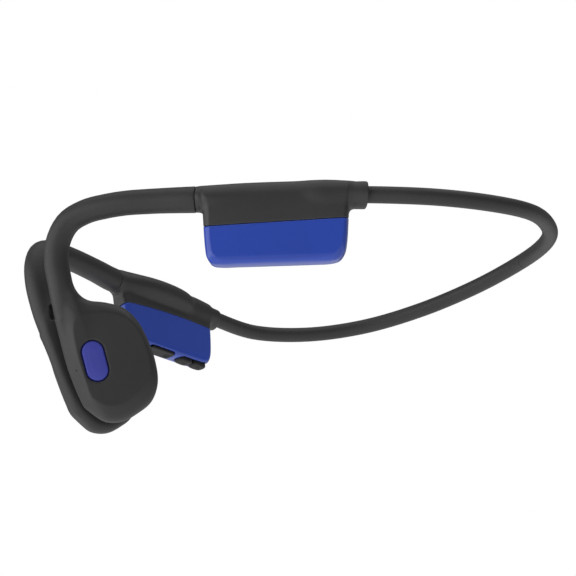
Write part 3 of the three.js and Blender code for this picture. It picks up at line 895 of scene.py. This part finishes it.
def surface(name, colour, roughness, grain=0.0, grain_size=0.25, mottle=0.08, metallic=0.0, **sockets):
    """Principled material: mottled colour, uneven roughness and a fine grain in the bump.

    grain and grain_size are in millimetres. Further sockets are set by name."""
    material = bpy.data.materials.new(name)
    material.use_nodes = True
    tree = material.node_tree
    links = tree.links
    shader = tree.nodes["Principled BSDF"]
    shader.inputs["Metallic"].default_value = metallic
    for socket, value in sockets.items():
        shader.inputs[socket.replace("_", " ")].default_value = value
    place = tree.nodes.new("ShaderNodeTexCoord")

    broad = tree.nodes.new("ShaderNodeTexNoise")
    broad.inputs["Scale"].default_value = 90.0
    broad.inputs["Detail"].default_value = 5.0
    links.new(place.outputs["Object"], broad.inputs["Vector"])
    fine = tree.nodes.new("ShaderNodeTexNoise")
    fine.inputs["Scale"].default_value = 1000.0 / grain_size
    fine.inputs["Detail"].default_value = 3.0
    fine.inputs["Roughness"].default_value = 0.6
    links.new(place.outputs["Object"], fine.inputs["Vector"])

    ramp = tree.nodes.new("ShaderNodeValToRGB")
    dark = [c * (1 - mottle) for c in colour[:3]] + [1.0]
    light = [min(c * (1 + mottle), 1) for c in colour[:3]] + [1.0]
    ramp.color_ramp.elements[0].position = 0.3
    ramp.color_ramp.elements[0].color = dark
    ramp.color_ramp.elements[1].position = 0.7
    ramp.color_ramp.elements[1].color = light
    links.new(broad.outputs["Fac"], ramp.inputs["Fac"])
    links.new(ramp.outputs["Color"], shader.inputs["Base Color"])

    spread = tree.nodes.new("ShaderNodeMapRange")
    spread.inputs["From Min"].default_value = 0.3
    spread.inputs["From Max"].default_value = 0.7
    spread.inputs["To Min"].default_value = roughness * 0.9
    spread.inputs["To Max"].default_value = min(roughness * 1.1, 1)
    links.new(fine.outputs["Fac"], spread.inputs["Value"])
    links.new(spread.outputs["Result"], shader.inputs["Roughness"])

    if grain:
        bump = tree.nodes.new("ShaderNodeBump")
        bump.inputs["Strength"].default_value = 1.0
        bump.inputs["Distance"].default_value = grain * 0.001
        links.new(fine.outputs["Fac"], bump.inputs["Height"])
        links.new(bump.outputs["Normal"], shader.inputs["Normal"])
    return material


SATIN = {"Specular_IOR_Level": 0.4}
SILICONE = surface("silicone", srgb(46, 46, 47), 0.5, grain=0.02, grain_size=0.3, **SATIN)
SHELL = surface("moulded_black", srgb(49, 49, 50), 0.42, grain=0.015, grain_size=0.4, **SATIN)
PAD = surface("skin_silicone", srgb(46, 46, 47), 0.6, grain=0.02, grain_size=0.2, **SATIN)
RUBBER = surface("rubber", srgb(28, 28, 30), 0.6, grain=0.02, grain_size=0.25, **SATIN)
PILL = surface("matt_blue", srgb(60, 66, 160), 0.5, grain=0.015, grain_size=0.3, **SATIN)
GLOSS = {"Coat_Weight": 0.4, "Coat_Roughness": 0.08, "Specular_IOR_Level": 0.3}
BLUE = surface("gloss_blue", srgb(38, 70, 173), 0.3, mottle=0.04, **GLOSS)
TITANIUM = surface("titanium", srgb(180, 176, 168), 0.32, grain=0.01, metallic=1.0)
STEEL = surface("steel", srgb(190, 192, 196), 0.28, grain=0.01, metallic=1.0)
COPPER = surface("copper", srgb(196, 118, 74), 0.3, grain=0.03, grain_size=0.1, metallic=1.0)
CABLE = surface("cable_jacket", srgb(140, 30, 30), 0.45, grain=0.01)
BOARD = surface("circuit_board", srgb(24, 74, 48), 0.4, grain=0.03, grain_size=0.8, mottle=0.2)
FOIL = surface("battery_foil", srgb(196, 198, 202), 0.35, grain=0.05, grain_size=1.5, metallic=0.8)
PLASTIC = surface("switch_plastic", srgb(30, 30, 32), 0.4, grain=0.01)
MESH = surface("vent_mesh", srgb(60, 60, 62), 0.35, grain=0.01, metallic=0.8)

PIECE_FINISH = {
    "arm_shell": (SILICONE, "silicone"),
    "band": (SILICONE, "silicone"),
    "pad": (PAD, "silicone"),
    "cover": (SHELL, "shell"),
    "case": (BLUE, "gloss_blue"),
    "pill_key": (PILL, "matt_blue"),
    "vent": (MESH, "steel"),
    "spring_wire": (TITANIUM, "titanium"),
    "lead": (CABLE, "cable"),
    "cap": (RUBBER, "rubber"),
    "flap": (RUBBER, "rubber"),
}
for name, obj in built.items():
    for ending, (material, slot) in PIECE_FINISH.items():
        if name.endswith(ending):
            obj.data.materials.clear()
            obj.data.materials.append(material)

# The inner pieces stay as they come from the frame, and only take a finish.
NODE_FINISH = {
    "hook_wire": TITANIUM,
    "band_wire": TITANIUM,
    "band_cable": CABLE,
    "spring_plate": STEEL,
    "voice_coil": COPPER,
    "coil_former": PLASTIC,
    "magnet": STEEL,
    "yoke": STEEL,
    "battery": FOIL,
    "board": BOARD,
    "shield": STEEL,
    "receptacle": STEEL,
    "switch": PLASTIC,
}
for name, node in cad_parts.items():
    for ending, material in NODE_FINISH.items():
        if name.endswith(ending):
            for i in range(len(node.data.materials)):
                node.data.materials[i] = material

# ------------------------------------------------------------------ floor, light and camera
# The camera looks up at the headphones, so the floor is well below them. Its glow is the light
# from below.
FLOOR_REACH = 15.0
FLOOR_LEVEL = -0.6
signs = ((-1, -1), (1, -1), (1, 1), (-1, 1))
floor_corners = [(x * FLOOR_REACH, y * FLOOR_REACH, FLOOR_LEVEL) for x, y in signs]
floor_mesh = bpy.data.meshes.new("floor")
floor_mesh.from_pydata(floor_corners, [], [(0, 1, 2, 3)])
floor = new_object("floor", floor_mesh)
GLOW = {"Emission_Color": (1.0, 1.0, 1.0, 1.0), "Emission_Strength": 0.55}
floor.data.materials.append(surface("floor_paint", srgb(235, 235, 235), 0.8, mottle=0.01, **GLOW))

bpy.context.scene.view_settings.view_transform = "Standard"

# The background is white to the camera, and lights the object more softly.
world = bpy.data.worlds.new("studio")
bpy.context.scene.world = world
world.use_nodes = True
tree = world.node_tree
backdrop = tree.nodes["Background"]
backdrop.inputs["Color"].default_value = (1, 1, 1, 1)
backdrop.inputs["Strength"].default_value = 1.0
ambient = tree.nodes.new("ShaderNodeBackground")
ambient.inputs["Color"].default_value = (1, 1, 1, 1)
ambient.inputs["Strength"].default_value = 0.21
ray = tree.nodes.new("ShaderNodeLightPath")
mix = tree.nodes.new("ShaderNodeMixShader")
tree.links.new(ray.outputs["Is Camera Ray"], mix.inputs["Fac"])
tree.links.new(ambient.outputs["Background"], mix.inputs[1])
tree.links.new(backdrop.outputs["Background"], mix.inputs[2])
tree.links.new(mix.outputs["Shader"], tree.nodes["World Output"].inputs["Surface"])


def softbox(name, place, aim, size, power):
    """A rectangular light aimed at a point, not seen by the camera."""
    light = bpy.data.lights.new(name, "AREA")
    light.shape = "RECTANGLE"
    light.size = size[0]
    light.size_y = size[1]
    light.energy = power
    obj = bpy.data.objects.new(name, light)
    bpy.context.scene.collection.objects.link(obj)
    obj.location = place
    obj.visible_camera = False
    obj.rotation_euler = (Vector(aim) - Vector(place)).to_track_quat("-Z", "Y").to_euler()


middle = (0.0, 0.0, 0.035)
softbox("top_light", (0.15, 0.0, 0.8), middle, (1.2, 0.9), 3.0)
softbox("left_light", (0.0, -0.97, 0.12), middle, (1.6, 0.9), 6.8)

# From the wearer's left, a little in front and below.
CAMERA_AIM = Vector((0.0, -0.0026944, 0.047254))
CAMERA_SIDE = Vector((0.86930, -0.36757, -0.33048)).normalized()
CAMERA_DISTANCE = 0.5768
lens = bpy.data.cameras.new("camera")
lens.lens = 125
lens.sensor_width = 36
lens.clip_start = 0.01
lens.clip_end = 20
camera = bpy.data.objects.new("camera", lens)
bpy.context.scene.collection.objects.link(camera)
camera.location = CAMERA_AIM + CAMERA_SIDE * CAMERA_DISTANCE
camera.rotation_euler = CAMERA_SIDE.to_track_quat("Z", "Y").to_euler()
bpy.context.scene.camera = camera
